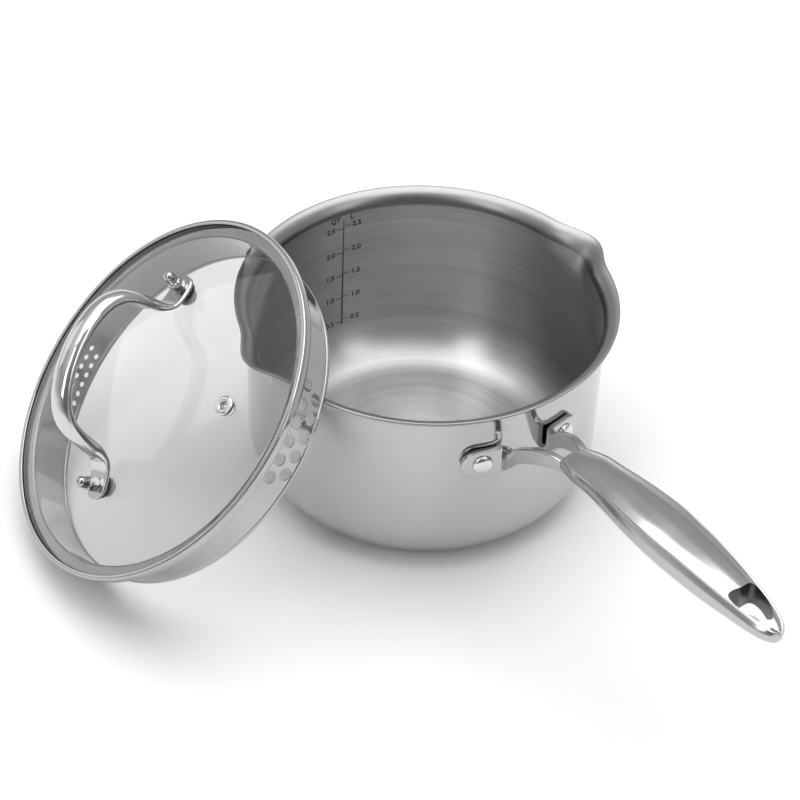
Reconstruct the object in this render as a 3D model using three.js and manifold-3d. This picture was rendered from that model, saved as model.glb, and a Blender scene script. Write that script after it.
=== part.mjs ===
// Two-spouted saucepan with a cast handle and a glass straining lid.
// Millimetres, +Z up. The origin is the centre of the pan's underside, the handle runs along +X,
// and the spouts face -Y and +Y. The lid leans on the rim beside the -Y spout, its edge on the table.
import * as THREE from 'three';
import { mergeVertices } from 'three/addons/utils/BufferGeometryUtils.js';
import Module from 'manifold-3d';

const wasm = await Module();
wasm.setup();

// ---------------------------------------------------------------- driving dimensions
// Clearance between pieces that fit together, and between a flat face and the curved one it sits on.
const FIT_GAP = 0.35;
const CURVED_SEAT_GAP = 0.65;
const ROUND_SEGMENTS = 72;
// Lengths of the cutters, long enough to run past both faces of what they cut.
const WALL_CUT = 20;
const GRIP_CUT = { depth: 60, bottom: 95 };
const LID_CUT = 60;
const SKIRT_CUT = 8;

const PAN = { rim: 102, height: 112.3, wallRadius: 96, wall: 1.4, base: 2.4, corner: 29.5 };
const LIP = { flare: 9, rise: 8, sweep: 75 };
const SPOUT = { reach: 7.5, halfAngle: 17, depth: 22, dip: 0.8 };

const LUG = { angle: 14.7, height: 17.4, length: 22.6, thickness: 3.2, z: 79.6, innerCorner: 2 };
const RIVET = { shank: 2.7, hole: 3.1, head: 5.6, headRise: 2.2, innerHead: 6, innerRise: 1.6 };
const ARM = { thickness: 4.4, startX: 97, startY: 15, endX: 140, endY: 6.6 };
// The arm's side view: distance from the pan's axis, then the lower and the upper edge.
const ARM_EDGES = [[97, 72.4, 87.6], [108, 84.2, 94.6], [124, 95.6, 105.2], [140, 101.5, 109]];
// The grip along its length: distance from the pan's axis, half width, panel edge, underside.
const GRIP_STATIONS = [
  [127, 9.6, 106.4, 97],
  [140, 10.2, 110, 99.6],
  [165, 12.6, 116.5, 105.6],
  [190, 14.8, 121.4, 108.2],
  [215, 15.6, 124.7, 108.6],
  [240, 14.6, 127, 110],
  [265, 12.2, 128.3, 114.6],
  [281, 9.6, 128.4, 117],
  [291, 6, 127.8, 119],
  [296.5, 1.6, 126, 122.4],
];
const GRIP = { crown: 2.2, bevel: 4.6, sideBulge: 0.85, topBulge: 0.8, sides: 20 };
const HANG_HOLE = { start: 267, end: 292.5, halfWidth: 8.2, widest: 272 };

const LEAN = { tilt: 43.9, heading: 260.8, turn: 33.7, centre: [-25.8, -149.1, 85.45] };
const BAND = { rim: 102, top: 1.6, ledge: -4.1, ledgeTop: -3.2, rimInner: 100.9 };
const SKIRT = { outer: 93.3, inner: 92.5, bottom: -28.1, bead: 1.9, beadOuter: 93.7, beadInner: 92 };
const LARGE_HOLES = { radius: 3.5, step: 6.26, rows: [[6, -14.1], [5, -21.9]] };
const SMALL_HOLES = { radius: 1.5, step: 3.55, rows: [[9, -17.2], [8, -22.8]] };
const GLASS = { rim: 100.5, thickness: 3.5, edgeTop: 0.6, rise: 12.4 };
const VENT = { radius: 64, hole: 4.2, flange: 5.3, collar: 3.8, bore: 2.1 };
const BOLT = { radius: 2, hole: 2.8, distance: 55.8, head: 3.7, headHeight: 1.8 };
const WASHER = { radius: 6.5, bottom: 7.8, underRadius: 5, underBottom: 3.6, underTop: 7.2 };
const BAIL = { width: 15, thickness: 2, tabStart: 48.5, tabHeight: 13.6, tabTilt: 12, top: 63 };
// The strap's middle line from the tab to its top: distance from the lid's axis, height.
const BAIL_CLIMB = [[43.8, 18.6], [41.6, 27.5], [39.4, 40], [35.6, 49.8], [27, 57], [14, 61.7]];
const NUT = { acrossFlats: 7.4, hex: 5.6, height: 12, domeStep: 0.6, bore: 2.4, boreDepth: 7.6 };

// ---------------------------------------------------------------- worked-out values
const LUG_INNER = (PAN.wallRadius + FIT_GAP) / Math.cos(Math.PI / ROUND_SEGMENTS);
const LUG_OUTER = LUG_INNER + LUG.thickness;
const radians = THREE.MathUtils.degToRad;
const glassTop = (radius) => GLASS.edgeTop + GLASS.rise * (1 - (radius / GLASS.rim) ** 2);
const glassSlope = (radius) => Math.atan((2 * GLASS.rise * radius) / GLASS.rim ** 2);

const STEEL = { polished: 0xd4d5d7, brushed: 0xb4b5b8, chrome: 0xe2e3e5 };

function steel(color, roughness) {
  return new THREE.MeshStandardMaterial({ color, roughness, metalness: 1 });
}

function clearGlass() {
  return new THREE.MeshStandardMaterial({
    color: 0xeaf1ef, roughness: 0.03, metalness: 0, transparent: true, opacity: 0.25,
  });
}

function blackSilicone() {
  return new THREE.MeshStandardMaterial({ color: 0x141414, roughness: 0.65, metalness: 0 });
}

function clearSilicone() {
  return new THREE.MeshStandardMaterial({ color: 0xd0d2d2, roughness: 0.5, metalness: 0 });
}

// ---------------------------------------------------------------- solids
function toSolid(geometry) {
  const bare = geometry.clone();
  bare.deleteAttribute('normal');
  bare.deleteAttribute('uv');
  const merged = mergeVertices(bare, 1e-4);
  return new wasm.Manifold(new wasm.Mesh({
    numProp: 3,
    vertProperties: new Float32Array(merged.attributes.position.array),
    triVerts: new Uint32Array(merged.index.array),
  }));
}

function toGeometry(solid) {
  const mesh = solid.getMesh();
  const geometry = new THREE.BufferGeometry();
  geometry.setAttribute('position', new THREE.BufferAttribute(mesh.vertProperties, 3));
  geometry.setIndex(new THREE.BufferAttribute(mesh.triVerts, 1));
  geometry.computeVertexNormals();
  return geometry;
}

function cutFrom(geometry, cutters) {
  return toGeometry(cutters.reduce((solid, cutter) => solid.subtract(toSolid(cutter)), toSolid(geometry)));
}

// A profile of [radius, z] pairs turned about Z.
function turned(profile, segments = ROUND_SEGMENTS) {
  const points = profile.map(([radius, z]) => new THREE.Vector2(radius, z));
  return new THREE.LatheGeometry(points, segments).rotateX(Math.PI / 2);
}

// A closed section of [radius, z] pairs turned about Z, for a ring that leaves its middle open.
function turnedRing(section, segments = ROUND_SEGMENTS) {
  return turned([...section, section[0]], segments);
}

function arc(centreRadius, centreZ, radius, from, to, steps) {
  return Array.from({ length: steps + 1 }, (_, i) => {
    const angle = radians(from + ((to - from) * i) / steps);
    return [centreRadius + radius * Math.cos(angle), centreZ + radius * Math.sin(angle)];
  });
}

function rod(radius, length, segments = 16) {
  return new THREE.CylinderGeometry(radius, radius, length, segments).rotateX(Math.PI / 2);
}

function named(name, geometry, material) {
  const mesh = new THREE.Mesh(geometry, material);
  mesh.name = name;
  return mesh;
}

// ---------------------------------------------------------------- pan
// One side of the flared lip, offset from its middle line: from the wall out to the edge.
function lipSide(offset) {
  const startRadius = PAN.wallRadius - PAN.wall / 2;
  const startZ = PAN.height - LIP.rise * Math.sin(radians(LIP.sweep)) - PAN.wall / 2;
  const steps = 4;
  return Array.from({ length: steps + 1 }, (_, i) => {
    const angle = radians((LIP.sweep * i) / steps);
    const along = [LIP.flare * Math.sin(angle), LIP.rise * Math.cos(angle)];
    const length = Math.hypot(...along);
    return [
      startRadius + LIP.flare * (1 - Math.cos(angle)) + (offset * along[1]) / length,
      startZ + LIP.rise * Math.sin(angle) - (offset * along[0]) / length,
    ];
  });
}

function pushOutSpouts(geometry) {
  const position = geometry.attributes.position;
  for (let i = 0; i < position.count; i += 1) {
    const x = position.getX(i);
    const y = position.getY(i);
    const z = position.getZ(i);
    const radius = Math.hypot(x, y);
    const offAxis = THREE.MathUtils.radToDeg(Math.atan2(Math.abs(x), Math.abs(y)));
    const height = (z - PAN.height + SPOUT.depth) / SPOUT.depth;
    if (radius > 0 && offAxis < SPOUT.halfAngle && height > 0) {
      const sideways = Math.cos(((Math.PI / 2) * offAxis) / SPOUT.halfAngle) ** 3;
      const push = sideways * height * height * (3 - 2 * Math.min(height, 1));
      const grown = 1 + (SPOUT.reach * push) / radius;
      position.setXYZ(i, x * grown, y * grown, z - SPOUT.dip * push);
    }
  }
  return geometry;
}

function panBody() {
  const cornerRadius = PAN.wallRadius - PAN.corner;
  const innerCorner = PAN.corner - PAN.wall;
  const outside = [[0, 0], ...arc(cornerRadius, PAN.corner, PAN.corner, -90, 0, 5)];
  const spoutStart = PAN.height - SPOUT.depth;
  const outerWall = PAN.wallRadius;
  const innerWall = PAN.wallRadius - PAN.wall;
  const inside = arc(cornerRadius, PAN.base + innerCorner, innerCorner, 0, -90, 5);
  const profile = [
    ...outside,
    [outerWall, spoutStart],
    ...lipSide(PAN.wall / 2),
    ...lipSide(-PAN.wall / 2).reverse(),
    [innerWall, spoutStart],
    ...inside,
    [0, PAN.base],
  ];
  const shell = pushOutSpouts(turned(profile));
  const holes = [-1, 1].map((side) => rivetAxis(rod(RIVET.hole, WALL_CUT), side, PAN.wallRadius));
  return cutFrom(shell, holes);
}

// Stands a piece made along Z on a rivet's axis, which runs out from the pan's axis.
function rivetAxis(geometry, side, distance) {
  geometry.rotateY(Math.PI / 2);
  geometry.translate(distance, 0, LUG.z);
  return geometry.rotateZ(side * radians(LUG.angle));
}

// ---------------------------------------------------------------- handle
function lug(side) {
  const half = LUG.height / 2;
  const inner = -LUG.length / 2;
  const centre = LUG.length / 2 - half;
  const corner = LUG.innerCorner;
  const outline = new THREE.Shape();
  outline.moveTo(inner + corner, -half);
  outline.absarc(centre, 0, half, -Math.PI / 2, Math.PI / 2, false);
  outline.absarc(inner + corner, half - corner, corner, Math.PI / 2, Math.PI, false);
  outline.absarc(inner + corner, corner - half, corner, Math.PI, 1.5 * Math.PI, false);
  const settings = { depth: WALL_CUT, curveSegments: 6, bevelEnabled: false };
  const block = new THREE.ExtrudeGeometry(outline, settings);
  // The outline's x runs round the wall, away from the handle's middle, and its depth runs outwards.
  block.rotateZ(side > 0 ? 0 : Math.PI);
  block.rotateX(Math.PI / 2);
  block.rotateZ(Math.PI / 2);
  block.translate(PAN.wallRadius - WALL_CUT / 2, 0, LUG.z);
  block.rotateZ(side * radians(LUG.angle));
  const low = LUG.z - LUG.height;
  const high = LUG.z + LUG.height;
  const wallSleeve = turnedRing([
    [LUG_INNER, low], [LUG_OUTER, low], [LUG_OUTER, high], [LUG_INNER, high],
  ]);
  return toSolid(block).intersect(toSolid(wallSleeve));
}

function arm(side) {
  const lower = ARM_EDGES.map(([x, low]) => new THREE.Vector2(x - ARM.startX, low));
  const upper = ARM_EDGES.map(([x, , high]) => new THREE.Vector2(x - ARM.startX, high)).reverse();
  const outline = new THREE.Shape([...lower, ...upper]);
  const plate = new THREE.ExtrudeGeometry(outline, { depth: ARM.thickness, bevelEnabled: false });
  plate.translate(0, 0, -ARM.thickness / 2);
  plate.rotateX(Math.PI / 2);
  const turn = Math.atan2(ARM.startY - ARM.endY, ARM.endX - ARM.startX);
  plate.rotateZ(-side * turn);
  plate.translate(ARM.startX, side * ARM.startY, 0);
  return toSolid(plate);
}

// The grip's section at one station: a crowned panel, bevelled edges and a rounded underside.
function gripSection(angle, halfWidth, edge, underside) {
  const across = Math.cos(angle);
  const up = Math.sin(angle);
  const widest = Math.max(edge - GRIP.bevel, (edge + underside) / 2);
  const y = halfWidth * Math.sign(across) * Math.abs(across) ** GRIP.sideBulge;
  const reach = up > 0 ? edge + GRIP.crown - widest : widest - underside;
  return [y, widest + reach * Math.sign(up) * Math.abs(up) ** GRIP.topBulge];
}

function grip() {
  const start = GRIP_STATIONS[0][0];
  const end = GRIP_STATIONS[GRIP_STATIONS.length - 1][0];
  const widths = new THREE.SplineCurve(GRIP_STATIONS.map(([x, w]) => new THREE.Vector2(x, w)));
  const edges = new THREE.SplineCurve(GRIP_STATIONS.map(([x, , e]) => new THREE.Vector2(x, e)));
  const undersides = new THREE.SplineCurve(GRIP_STATIONS.map(([x, , , u]) => new THREE.Vector2(x, u)));
  const along = (GRIP_STATIONS.length - 1) * 2;
  // A cylinder of unit size along Y, which is then stretched to the stations.
  const tube = new THREE.CylinderGeometry(1, 1, 1, GRIP.sides, along);
  const position = tube.attributes.position;
  for (let i = 0; i < position.count; i += 1) {
    const t = position.getY(i) + 0.5;
    const station = widths.getPoint(t);
    const angle = Math.atan2(position.getX(i), position.getZ(i));
    const size = Math.hypot(position.getX(i), position.getZ(i));
    const edge = edges.getPoint(t).y;
    const underside = undersides.getPoint(t).y;
    const middle = (edge + underside) / 2;
    const [y, z] = gripSection(angle, station.y, edge, underside);
    const x = THREE.MathUtils.clamp(station.x, start, end);
    position.setXYZ(i, x, size * y, middle + size * (z - middle));
  }
  return toSolid(tube);
}

// The teardrop hole near the grip's end: wide and round towards the pan, pointed towards the tip.
function hangHole() {
  const { start, end, halfWidth, widest } = HANG_HOLE;
  const outline = new THREE.Shape();
  outline.moveTo(start, 0);
  outline.bezierCurveTo(start, -halfWidth * 0.7, start + 1.5, -halfWidth, widest, -halfWidth);
  outline.bezierCurveTo(widest + 9, -halfWidth, end, -halfWidth * 0.45, end, 0);
  outline.bezierCurveTo(end, halfWidth * 0.45, widest + 9, halfWidth, widest, halfWidth);
  outline.bezierCurveTo(start + 1.5, halfWidth, start, halfWidth * 0.7, start, 0);
  const { depth, bottom } = GRIP_CUT;
  const plug = new THREE.ExtrudeGeometry(outline, { depth, curveSegments: 5, bevelEnabled: false });
  return plug.translate(0, 0, bottom);
}

function handleCasting() {
  const lugs = [-1, 1].map(lug);
  const arms = [-1, 1].map(arm);
  const rivetHoles = [-1, 1].map((side) => toSolid(rivetAxis(rod(RIVET.hole, WALL_CUT), side, LUG_OUTER)));
  const body = [...lugs, ...arms].reduce((solid, piece) => solid.add(piece), grip());
  const pierced = rivetHoles.reduce((solid, hole) => solid.subtract(hole), body);
  return toGeometry(pierced.subtract(toSolid(hangHole())));
}

function rivet(side) {
  const innerWall = PAN.wallRadius - PAN.wall;
  const innerFace = Math.sqrt(innerWall ** 2 - RIVET.innerHead ** 2) - CURVED_SEAT_GAP;
  const outerFace = LUG_OUTER + FIT_GAP;
  const profile = [
    [0, innerFace - RIVET.innerRise],
    [RIVET.innerHead - 2, innerFace - RIVET.innerRise],
    [RIVET.innerHead, innerFace - 0.5],
    [RIVET.innerHead, innerFace],
    [RIVET.shank, innerFace],
    [RIVET.shank, outerFace],
    [RIVET.head, outerFace],
    [RIVET.head, outerFace + RIVET.headRise * 0.45],
    [RIVET.head * 0.7, outerFace + RIVET.headRise * 0.9],
    [0, outerFace + RIVET.headRise],
  ];
  return rivetAxis(turned(profile, 20), side, 0);
}

// ---------------------------------------------------------------- lid, in its own frame
// Its axis is Z, z = 0 is the middle of the flange, the bail runs along X and the vent is on +Y.
function strainerHoles({ radius, step, rows }, direction) {
  return rows.flatMap(([count, z]) => Array.from({ length: count }, (_, i) => {
    const angle = radians(direction + (i - (count - 1) / 2) * step);
    const drill = new THREE.CylinderGeometry(radius, radius, SKIRT_CUT, 10).rotateZ(Math.PI / 2);
    return drill.translate(SKIRT.outer, 0, z).rotateZ(angle);
  }));
}

function lidBand() {
  const beadTop = SKIRT.bottom + SKIRT.bead;
  const section = [
    [SKIRT.beadInner, SKIRT.bottom],
    [SKIRT.beadOuter, SKIRT.bottom],
    [SKIRT.beadOuter, beadTop],
    [SKIRT.outer, beadTop],
    [SKIRT.outer, BAND.ledge],
    [BAND.rim - 1, BAND.ledge],
    [BAND.rim, BAND.ledge + 1],
    [BAND.rim, BAND.top - 0.7],
    [(BAND.rim + BAND.rimInner) / 2, BAND.top],
    [BAND.rimInner, BAND.top - 0.7],
    [BAND.rimInner, BAND.ledgeTop],
    [SKIRT.inner, BAND.ledgeTop],
    [SKIRT.inner, beadTop],
    [SKIRT.beadInner, beadTop],
  ];
  const holes = [...strainerHoles(LARGE_HOLES, 90), ...strainerHoles(SMALL_HOLES, -90)];
  return cutFrom(turnedRing(section), holes);
}

function glassBlank() {
  const radii = [0, 25, 50, 75, GLASS.rim - 1];
  const top = radii.map((radius) => [radius, glassTop(radius)]).reverse();
  const under = radii.map((radius) => [radius, glassTop(radius) - GLASS.thickness]);
  const profile = [...under, [GLASS.rim, 0.2 - GLASS.thickness / 2], ...top];
  return turned(profile);
}

function lidGlass() {
  const ventHole = onGlass(rod(VENT.hole, LID_CUT), 0, VENT.radius);
  return cutFrom(glassBlank(), [...boltHoles(), ventHole]);
}

// Stands a piece made along Z on the glass at (x, y), square to the surface, z = 0 on its top.
function onGlass(geometry, x, y) {
  const radius = Math.hypot(x, y);
  const heading = Math.atan2(y, x);
  geometry.rotateZ(-heading);
  geometry.rotateY(glassSlope(radius));
  geometry.translate(radius, 0, glassTop(radius));
  return geometry.rotateZ(heading);
}

function discRing(outer, inner, low, high, segments = 24) {
  return turnedRing([[inner, low], [outer, low], [outer, high], [inner, high]], segments);
}

const TAB_END = BOLT.distance + BAIL.width / 2;
const WASHER_TOP = BAIL.tabHeight - BAIL.thickness / 2 - CURVED_SEAT_GAP;
const NUT_SEAT = BAIL.tabHeight + BAIL.thickness / 2 + FIT_GAP;
const HEAD_SEAT = WASHER.underBottom - FIT_GAP;

// A flat washer of the lid's own height range, hollowed to clear the domed glass by the fit gap.
function washerOnGlass(outer, low, high, lift) {
  const disc = onTab(discRing(outer, BOLT.hole, low, high));
  return cutFrom(disc, [glassBlank().translate(0, 0, lift)]);
}

// Tilts a piece made along Z, at its height in the lid, to stand square on the bail's tab.
function onTab(geometry) {
  geometry.translate(0, 0, -BAIL.tabHeight);
  geometry.rotateY(radians(BAIL.tabTilt));
  return geometry.translate(BOLT.distance, 0, BAIL.tabHeight);
}

function onSide(geometry, side) {
  return side > 0 ? geometry : geometry.rotateZ(Math.PI);
}

function boltHoles() {
  return [-1, 1].map((side) => onSide(onTab(rod(BOLT.hole, LID_CUT)), side));
}

// The middle line of the bail's strap, from one tab's end to the other.
function bailPath() {
  const slope = Math.tan(radians(BAIL.tabTilt));
  const tabPoint = (x) => new THREE.Vector3(x, 0, BAIL.tabHeight - (x - BOLT.distance) * slope);
  const half = [
    tabPoint(TAB_END + 1),
    tabPoint(BAIL.tabStart + 7),
    tabPoint(BAIL.tabStart),
    ...BAIL_CLIMB.map(([x, z]) => new THREE.Vector3(x, 0, z)),
  ];
  const mirrored = half.map((point) => new THREE.Vector3(-point.x, 0, point.z)).reverse();
  return new THREE.CatmullRomCurve3([...half, new THREE.Vector3(0, 0, BAIL.top), ...mirrored]);
}

function bail() {
  const half = BAIL.width / 2;
  const thick = BAIL.thickness / 2;
  const section = new THREE.Shape([
    new THREE.Vector2(-half, -thick),
    new THREE.Vector2(half, -thick),
    new THREE.Vector2(half, thick),
    new THREE.Vector2(-half, thick),
  ]);
  const sweep = { steps: 72, extrudePath: bailPath(), bevelEnabled: false };
  const strap = new THREE.ExtrudeGeometry(section, sweep);
  const outline = new THREE.Shape();
  outline.absarc(BOLT.distance, 0, half, -Math.PI / 2, Math.PI / 2, false);
  outline.absarc(-BOLT.distance, 0, half, Math.PI / 2, 1.5 * Math.PI, false);
  const depth = BAIL.top + WALL_CUT;
  const roundEnds = new THREE.ExtrudeGeometry(outline, { depth, curveSegments: 8, bevelEnabled: false });
  const blank = toSolid(strap).intersect(toSolid(roundEnds));
  return toGeometry(boltHoles().reduce((solid, hole) => solid.subtract(toSolid(hole)), blank));
}

function capNut(side) {
  const corner = NUT.acrossFlats / 2 / Math.cos(Math.PI / 6);
  const hex = new THREE.CylinderGeometry(corner, corner, NUT.hex, 6).rotateX(Math.PI / 2);
  hex.translate(0, 0, NUT_SEAT + NUT.hex / 2);
  const domeRadius = NUT.acrossFlats / 2 - NUT.domeStep;
  const domeStart = NUT_SEAT + NUT.height - domeRadius;
  const dome = turned([
    [0, NUT_SEAT + 1], [domeRadius, NUT_SEAT + 1], ...arc(0, domeStart, domeRadius, 0, 90, 4).slice(0, -1),
    [0, NUT_SEAT + NUT.height],
  ], 16);
  // The bore starts its own depth below the nut's seat, so it is open at the bottom.
  const bore = rod(NUT.bore, 2 * NUT.boreDepth).translate(0, 0, NUT_SEAT);
  const solid = toSolid(hex).add(toSolid(dome)).subtract(toSolid(bore));
  return onSide(onTab(toGeometry(solid)), side);
}

function bolt(side) {
  const tip = NUT_SEAT + NUT.hex;
  const profile = [
    [0, HEAD_SEAT - BOLT.headHeight],
    [BOLT.head * 0.75, HEAD_SEAT - BOLT.headHeight],
    [BOLT.head, HEAD_SEAT - BOLT.headHeight * 0.45],
    [BOLT.head, HEAD_SEAT],
    [BOLT.radius, HEAD_SEAT],
    [BOLT.radius, tip - 0.6],
    [BOLT.radius - 0.6, tip],
    [0, tip],
  ];
  return onSide(onTab(turned(profile, 16)), side);
}

function ventEyelet() {
  const low = -GLASS.thickness - 2;
  return onGlass(turnedRing([
    [VENT.bore, low], [VENT.collar - FIT_GAP, low], [VENT.collar - FIT_GAP, 1.6], [VENT.flange, 1.6],
    [VENT.flange, 2.2], [VENT.flange - 0.8, 2.6], [VENT.bore + 0.5, 2.6], [VENT.bore, 2.1],
  ], 24), 0, VENT.radius);
}

function ventGrommet() {
  return onGlass(discRing(VENT.flange - 0.3, VENT.collar, FIT_GAP, 1.25), 0, VENT.radius);
}

function lidAssembly() {
  const pieces = [
    named('lid_glass', lidGlass(), clearGlass()),
    named('lid_band', lidBand(), steel(STEEL.polished, 0.12)),
    named('lid_bail', bail(), steel(STEEL.polished, 0.14)),
    named('vent_eyelet', ventEyelet(), steel(STEEL.chrome, 0.15)),
    named('vent_grommet', ventGrommet(), blackSilicone()),
  ];
  for (const [place, side] of [['front', 1], ['rear', -1]]) {
    const washer = washerOnGlass(WASHER.radius, WASHER.bottom, WASHER_TOP, FIT_GAP);
    const under = washerOnGlass(WASHER.underRadius, WASHER.underBottom, WASHER.underTop, -FIT_GAP);
    pieces.push(named(`lid_cap_nut_${place}`, capNut(side), steel(STEEL.chrome, 0.1)));
    pieces.push(named(`lid_bolt_${place}`, bolt(side), steel(STEEL.chrome, 0.2)));
    pieces.push(named(`lid_washer_${place}`, onSide(washer, side), blackSilicone()));
    pieces.push(named(`lid_under_washer_${place}`, onSide(under, side), clearSilicone()));
  }
  const leaning = new THREE.Group();
  leaning.rotation.set(0, radians(LEAN.tilt), radians(LEAN.heading), 'ZYX');
  leaning.position.set(...LEAN.centre);
  const turnedLid = new THREE.Group();
  turnedLid.rotation.z = radians(LEAN.turn);
  turnedLid.add(...pieces);
  leaning.add(turnedLid);
  return leaning;
}

// ---------------------------------------------------------------- saucepan
const saucepan = new THREE.Group();
saucepan.add(
  named('pan_body', panBody(), steel(STEEL.brushed, 0.25)),
  named('handle', handleCasting(), steel(STEEL.polished, 0.12)),
  named('handle_rivet_front', rivet(-1), steel(STEEL.chrome, 0.2)),
  named('handle_rivet_rear', rivet(1), steel(STEEL.chrome, 0.2)),
  lidAssembly(),
);

export default saucepan;
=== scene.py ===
"""Saucepan with two pour spouts, a forked cast handle and a glass straining lid leaning on its rim."""

import math

import bmesh
import bpy
import numpy as np
from mathutils import Matrix, Vector


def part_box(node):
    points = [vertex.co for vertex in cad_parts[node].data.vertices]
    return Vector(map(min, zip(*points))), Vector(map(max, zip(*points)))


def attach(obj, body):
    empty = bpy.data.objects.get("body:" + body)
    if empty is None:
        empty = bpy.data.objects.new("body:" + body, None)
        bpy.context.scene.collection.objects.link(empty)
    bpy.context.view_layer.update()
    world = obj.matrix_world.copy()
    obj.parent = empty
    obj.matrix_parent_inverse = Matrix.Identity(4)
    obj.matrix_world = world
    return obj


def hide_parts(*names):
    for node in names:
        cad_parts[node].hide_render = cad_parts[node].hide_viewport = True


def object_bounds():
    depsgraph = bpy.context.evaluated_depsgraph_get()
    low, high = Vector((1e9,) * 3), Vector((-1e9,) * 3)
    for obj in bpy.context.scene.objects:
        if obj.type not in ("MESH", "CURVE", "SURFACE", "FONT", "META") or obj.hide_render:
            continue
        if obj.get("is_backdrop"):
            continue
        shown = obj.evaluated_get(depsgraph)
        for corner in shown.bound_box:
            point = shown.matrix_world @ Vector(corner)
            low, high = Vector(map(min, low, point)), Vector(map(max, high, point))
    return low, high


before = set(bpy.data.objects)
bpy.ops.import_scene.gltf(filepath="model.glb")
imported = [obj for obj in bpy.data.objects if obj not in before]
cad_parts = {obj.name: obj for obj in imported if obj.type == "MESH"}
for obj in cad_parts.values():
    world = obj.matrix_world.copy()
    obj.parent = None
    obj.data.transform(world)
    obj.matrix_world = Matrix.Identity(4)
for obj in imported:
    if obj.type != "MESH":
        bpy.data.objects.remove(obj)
CAD_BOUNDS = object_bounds()

bl_info = {
    "name": "Saucepan with glass lid",
    "version": (1, 0, 0),
    "blender": (4, 5, 0),
    "location": "3D View > Sidebar > Saucepan",
    "description": "Builds a steel saucepan, its forked handle and its glass straining lid",
    "category": "Object",
}

MM = 0.001
PAN_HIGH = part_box("pan_body")[1]
BAND_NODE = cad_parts["lid_band"]


# ------------------------------------------------------------------ sizes and colours

def length(name, description, default):
    return bpy.props.FloatProperty(
        name=name, description=description, default=default, unit="LENGTH", precision=5)


def angle(name, description, degrees):
    return bpy.props.FloatProperty(
        name=name, description=description, default=math.radians(degrees), subtype="ANGLE")


def colour(name, description, default):
    return bpy.props.FloatVectorProperty(
        name=name, description=description, default=default, subtype="COLOR", min=0, max=1)


def number(name, description, default):
    return bpy.props.FloatProperty(name=name, description=description, default=default)


class PanSizes(bpy.types.PropertyGroup):
    height: length("Height", "From the underside to the top of the lip", PAN_HIGH.z)
    wall_radius: length("Wall radius", "Outer radius of the straight wall", 0.096)
    wall: length("Wall thickness", "Thickness of the drawn steel", 0.0014)
    base: length("Base thickness", "Thickness of the floor of the pan", 0.0024)
    corner: length("Corner radius", "Outer radius between the wall and the base", 0.0295)
    flare: length("Lip flare", "How far the lip curves outwards", 0.009)
    rise: length("Lip rise", "How far the lip climbs while it curves", 0.008)
    sweep: angle("Lip sweep", "How far the lip turns outwards", 75)
    spout: length("Spout reach", "How far each pour spout stands past the rim", 0.0075)
    spout_angle: angle("Spout half angle", "Half of the arc that one spout takes up", 17)
    spout_depth: length("Spout depth", "How far down the wall the spout's groove runs", 0.022)
    spout_dip: length("Spout dip", "How much the lip drops at the spout", 0.0008)


class HandleSizes(bpy.types.PropertyGroup):
    lug_height: length("Lug height", "Height of each lug on the wall", 0.0174)
    lug_thickness: length("Lug thickness", "Thickness of each lug", 0.0032)
    lug_height_up: length("Lug centre height", "Height of the rivets above the table", 0.0796)
    rivet_angle: angle("Rivet angle", "Angle of each rivet from the handle's plane", 14.7)
    rivet_head: length("Rivet head", "Radius of the domed rivet heads", 0.0056)
    arm_thickness: length("Arm thickness", "Thickness of the two fork arms", 0.0042)
    crown: length("Panel crown", "How much the grip's top panel is domed", 0.0022)
    hole_half_width: length("Hole half width", "Half width of the hanging hole", 0.0077)


class LidSizes(bpy.types.PropertyGroup):
    tilt: angle("Tilt", "Slope of the leaning lid", 43.9)
    heading: angle("Heading", "Compass direction in which the lid slopes down", 260.8)
    turn: angle("Turn", "How far the lid is turned about its own axis", 33.7)
    rim: length("Flange radius", "Outer radius of the lid's flange", 0.102)
    skirt: length("Skirt radius", "Outer radius of the straining skirt", 0.0933)
    skirt_drop: length("Skirt drop", "How far the skirt hangs below the flange", 0.0281)
    large_hole: length("Large hole", "Radius of the large straining holes", 0.0035)
    small_hole: length("Small hole", "Radius of the small straining holes", 0.0015)
    glass_radius: length("Glass radius", "Radius of the glass disc", 0.1005)
    glass_rise: length("Glass rise", "Height of the glass dome", 0.0124)
    glass_thickness: length("Glass thickness", "Thickness of the glass", 0.0035)
    bolt_distance: length("Bolt distance", "Distance of each bolt from the lid's centre", 0.0558)
    tab_height: length("Tab height", "Height of the strap's tabs above the flange", 0.0136)
    tab_tilt: angle("Tab tilt", "Outward slope of the strap's tabs", 12)
    strap_width: length("Strap width", "Width of the lid's strap handle", 0.015)
    strap_thickness: length("Strap thickness", "Thickness of the strap at its edges", 0.002)
    channel_pinch: length("Channel pinch", "How much narrower the strap gets where it is pressed", 0.0010)
    channel_depth: length("Channel depth", "How far the strap's sides are pressed inwards", 0.0028)
    strap_top: length("Strap height", "Height of the strap's middle above the flange", 0.063)
    vent_distance: length("Vent distance", "Distance of the steam vent from the centre", 0.064)


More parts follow.
